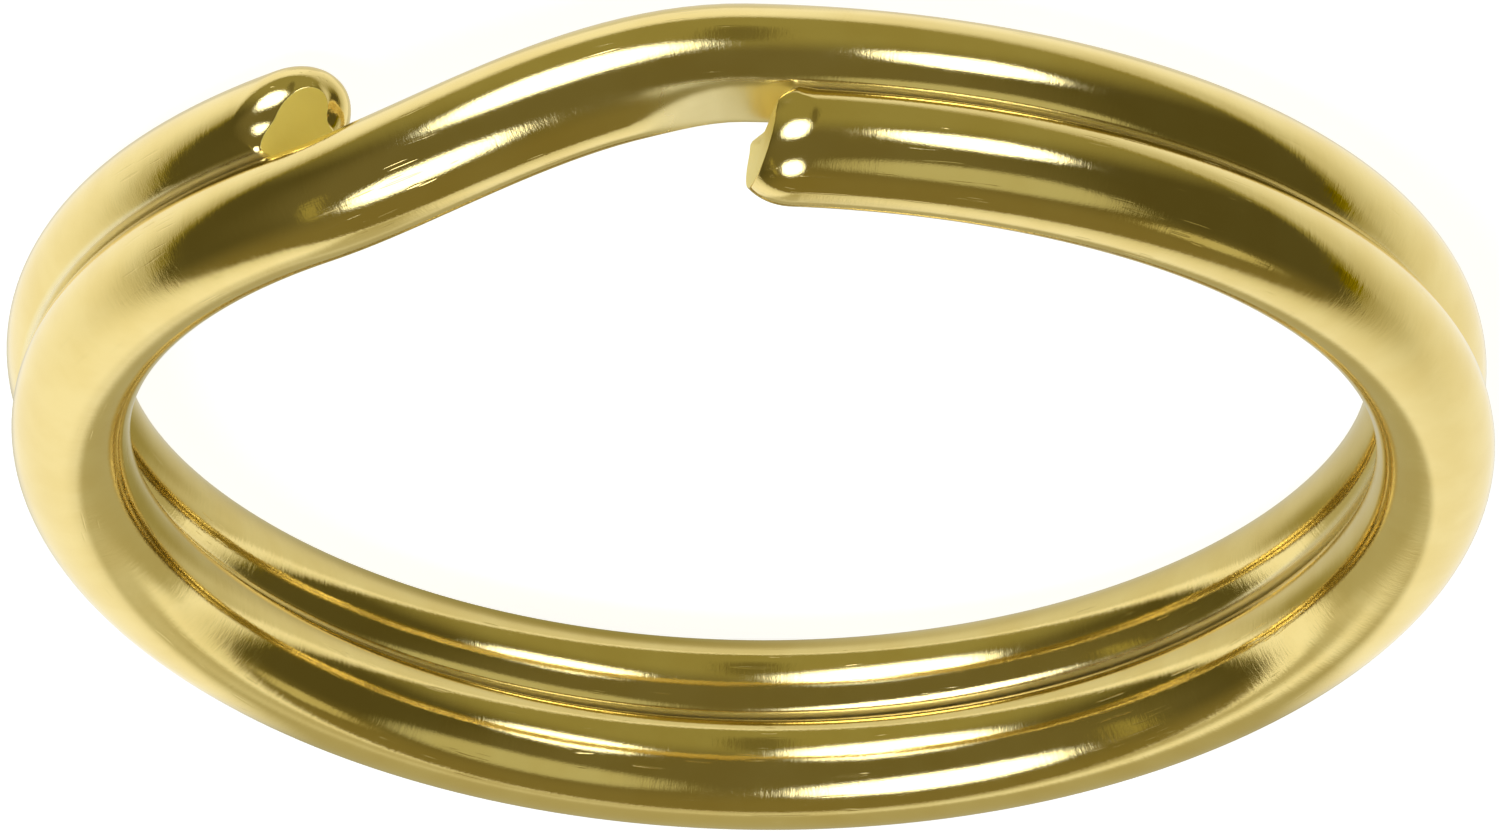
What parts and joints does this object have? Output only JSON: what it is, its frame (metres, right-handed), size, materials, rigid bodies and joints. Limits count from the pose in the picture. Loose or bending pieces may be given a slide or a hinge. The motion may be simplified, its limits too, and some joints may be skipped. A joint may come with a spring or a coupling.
{
  "type": "split key ring",
  "caption": "Split key ring: one polished gold-coloured spring wire wound as a doubled coil, with a crossover bend and two cut free ends that spring open for a key.",
  "frame": {"origin": "middle of the ring, on the surface that it lies on", "axes": "+Z along the ring's axis, up; the split and the crossover bend are at the front, -Y; the upper coil's free end is at the front and the lower coil's free end to its right, +X"},
  "size_m": [0.0252, 0.025, 0.0039],
  "materials": {
    "polished_gold": "mirror polished, with fine tumbling scratches"
  },
  "bodies": {
    "lower_free_end": {"lower_coil_free_end": "polished_gold"},
    "lower_third_arc": {"lower_coil_third_arc": "polished_gold"},
    "lower_second_arc": {"lower_coil_second_arc": "polished_gold"},
    "crossover": {"crossover_bend": "polished_gold", "lower_coil_first_arc": "polished_gold", "upper_coil_first_arc": "polished_gold"},
    "upper_second_arc": {"upper_coil_second_arc": "polished_gold"},
    "upper_third_arc": {"upper_coil_third_arc": "polished_gold"},
    "upper_free_end": {"upper_coil_free_end": "polished_gold"}
  },
  "joints": [
    {"name": "lower_coil_open", "type": "hinge", "parent": "lower_third_arc", "child": "lower_second_arc", "pos_m": [-0.00387, 0.01081, 0.00135], "axis": [-0.9395, -0.3419, -0.0224], "range_deg": [0, 5], "stiffness_Nm_per_rad": 5},
    {"name": "lower_coil_twist_near_end", "type": "hinge", "parent": "lower_free_end", "child": "lower_third_arc", "pos_m": [0.01087, 0.00393, 0.00105], "axis": [-0.3419, 0.9395, 0.0224], "range_deg": [0, 2.65]},
    {"name": "lower_coil_twist_near_bend", "type": "hinge", "parent": "lower_second_arc", "child": "crossover", "pos_m": [-0.01074, -0.00393, 0.00105], "axis": [0.3419, -0.9395, 0.0224], "range_deg": [0, 2.65]},
    {"name": "upper_coil_open", "type": "hinge", "parent": "upper_second_arc", "child": "upper_third_arc", "pos_m": [-0.004, 0.01081, 0.00282], "axis": [-0.9395, -0.3419, -0.0224], "range_deg": [0, 5], "stiffness_Nm_per_rad": 5},
    {"name": "upper_coil_twist_near_bend", "type": "hinge", "parent": "crossover", "child": "upper_second_arc", "pos_m": [0.01074, 0.00393, 0.00252], "axis": [-0.3419, 0.9395, 0.0224], "range_deg": [0, 2.65]},
    {"name": "upper_coil_twist_near_end", "type": "hinge", "parent": "upper_third_arc", "child": "upper_free_end", "pos_m": [-0.01087, -0.00393, 0.00252], "axis": [0.3419, -0.9395, 0.0224], "range_deg": [0, 2.65]}
  ],
  "couplings": [
    {"joint": "lower_coil_twist_near_end", "follows": "lower_coil_open", "ratio": 0.526},
    {"joint": "lower_coil_twist_near_bend", "follows": "lower_coil_open", "ratio": 0.526},
    {"joint": "upper_coil_twist_near_bend", "follows": "upper_coil_open", "ratio": 0.526},
    {"joint": "upper_coil_twist_near_end", "follows": "upper_coil_open", "ratio": 0.526}
  ]
}
